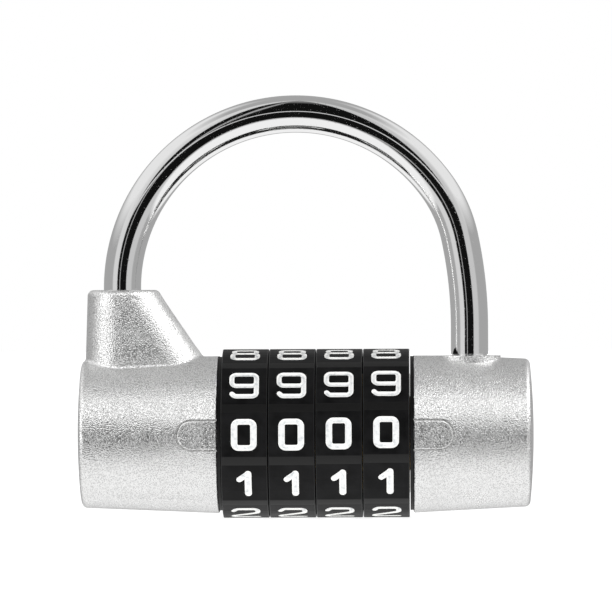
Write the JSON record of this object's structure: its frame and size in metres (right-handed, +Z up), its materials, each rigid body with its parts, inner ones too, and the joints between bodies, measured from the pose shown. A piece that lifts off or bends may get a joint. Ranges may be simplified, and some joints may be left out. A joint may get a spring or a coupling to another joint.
{
  "type": "number padlock",
  "caption": "Round-bodied number padlock with black wheels between cast silver ends and a wide round-bar shackle.",
  "frame": {"origin": "inside top of the shackle's bow, where the lock hangs, on its middle plane", "axes": "+X along the wheel axis from the shackle's long leg to its short leg, +Y to the back, +Z up the shackle"},
  "size_m": [0.0733, 0.0265, 0.0681],
  "materials": {
    "housing_silver": "fine-grained satin silver coat on a cast body",
    "shackle_chrome": "polished chrome plate",
    "wheel_black": "satin black with white-filled numerals",
    "washer_black": "plain black",
    "core_brass": "turned brass",
    "bolt_steel": "machined steel",
    "pin_steel": "ground steel",
    "spring_steel": "drawn spring wire"
  },
  "bodies": {
    "housing": {"left_housing": "housing_silver", "right_housing": "housing_silver", "right_end_cap": "housing_silver", "core_tube": "core_brass", "left_core_pin": "pin_steel", "right_core_pin": "pin_steel", "shackle_stop_pin": "pin_steel", "left_thrust_washer": "washer_black", "right_thrust_washer": "washer_black", "spring_plug": "core_brass", "click_spring": "spring_steel", "spindle_spring": "spring_steel", "change_spring": "spring_steel"},
    "wheel_1": {"number_wheel_1": "wheel_black"},
    "wheel_2": {"number_wheel_2": "wheel_black"},
    "wheel_3": {"number_wheel_3": "wheel_black"},
    "wheel_4": {"number_wheel_4": "wheel_black"},
    "sleeve_1": {"code_sleeve_1": "core_brass"},
    "sleeve_2": {"code_sleeve_2": "core_brass"},
    "sleeve_3": {"code_sleeve_3": "core_brass"},
    "sleeve_4": {"code_sleeve_4": "core_brass"},
    "spindle": {"spindle": "bolt_steel"},
    "change_slider": {"change_ring": "core_brass", "change_tab": "bolt_steel"},
    "shackle": {"shackle": "shackle_chrome"}
  },
  "joints": [
    {"name": "wheel_1_turn", "type": "hinge", "parent": "housing", "child": "wheel_1", "pos_m": [0.00323, 0, -0.0485], "axis": [1, 0, 0], "continuous": true, "deforming": ["click_spring"]},
    {"name": "wheel_2_turn", "type": "hinge", "parent": "housing", "child": "wheel_2", "pos_m": [0.00323, 0, -0.0485], "axis": [1, 0, 0], "continuous": true, "deforming": ["click_spring"]},
    {"name": "wheel_3_turn", "type": "hinge", "parent": "housing", "child": "wheel_3", "pos_m": [0.00323, 0, -0.0485], "axis": [1, 0, 0], "continuous": true, "deforming": ["click_spring"]},
    {"name": "wheel_4_turn", "type": "hinge", "parent": "housing", "child": "wheel_4", "pos_m": [0.00323, 0, -0.0485], "axis": [1, 0, 0], "continuous": true, "deforming": ["click_spring"]},
    {"name": "shackle_lift", "type": "slide", "parent": "housing", "child": "shackle", "axis": [0, 0, 1], "range_m": [0, 0.009]},
    {"name": "spindle_slide", "type": "slide", "parent": "housing", "child": "spindle", "axis": [1, 0, 0], "range_m": [0, 0.0029], "deforming": ["spindle_spring"]},
    {"name": "change_slide", "type": "slide", "parent": "housing", "child": "change_slider", "axis": [-1, 0, 0], "range_m": [0, 0.0017], "stiffness_N_per_m": 300, "deforming": ["change_spring"]},
    {"name": "sleeve_1_shift", "type": "slide", "parent": "wheel_1", "child": "sleeve_1", "axis": [-1, 0, 0], "range_m": [0, 0.0017]},
    {"name": "sleeve_2_shift", "type": "slide", "parent": "wheel_2", "child": "sleeve_2", "axis": [-1, 0, 0], "range_m": [0, 0.0017]},
    {"name": "sleeve_3_shift", "type": "slide", "parent": "wheel_3", "child": "sleeve_3", "axis": [-1, 0, 0], "range_m": [0, 0.0017]},
    {"name": "sleeve_4_shift", "type": "slide", "parent": "wheel_4", "child": "sleeve_4", "axis": [-1, 0, 0], "range_m": [0, 0.0017]}
  ],
  "couplings": [
    {"joint": "spindle_slide", "follows": "shackle_lift", "ratio": 0.32222},
    {"joint": "sleeve_1_shift", "follows": "change_slide", "ratio": 1},
    {"joint": "sleeve_2_shift", "follows": "change_slide", "ratio": 1},
    {"joint": "sleeve_3_shift", "follows": "change_slide", "ratio": 1},
    {"joint": "sleeve_4_shift", "follows": "change_slide", "ratio": 1}
  ]
}
